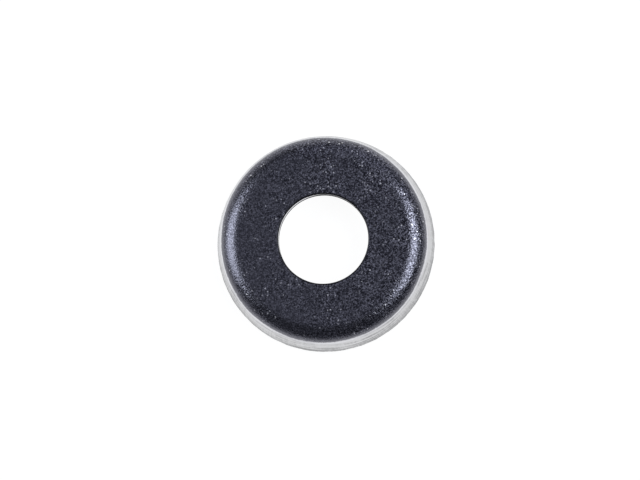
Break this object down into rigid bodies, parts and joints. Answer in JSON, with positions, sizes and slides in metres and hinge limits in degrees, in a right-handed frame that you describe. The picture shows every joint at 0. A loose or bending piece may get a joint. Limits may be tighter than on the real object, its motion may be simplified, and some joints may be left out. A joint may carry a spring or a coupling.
{
  "type": "valve cover bolt seal",
  "caption": "Round pressed-sheet sealing washer, a shallow cup opening downwards with a bolt hole through its flat top, for clamping under the head of a valve cover bolt.",
  "frame": {"origin": "centre of the foot of the skirt, on the plane that the part stands on", "axes": "+Z along the bolt's axis, from the foot towards the top face under the bolt's head; X and Y lie across the ring, which is round, so their direction is free"},
  "size_m": [0.02, 0.02, 0.0033],
  "materials": {
    "seal_ring": "satin dark slate coat with a fine grain over the top face and shoulder, fading out into bright bare metal on the skirt and in the hole"
  },
  "bodies": {
    "root": {"seal_ring": "seal_ring"}
  },
  "joints": []
}
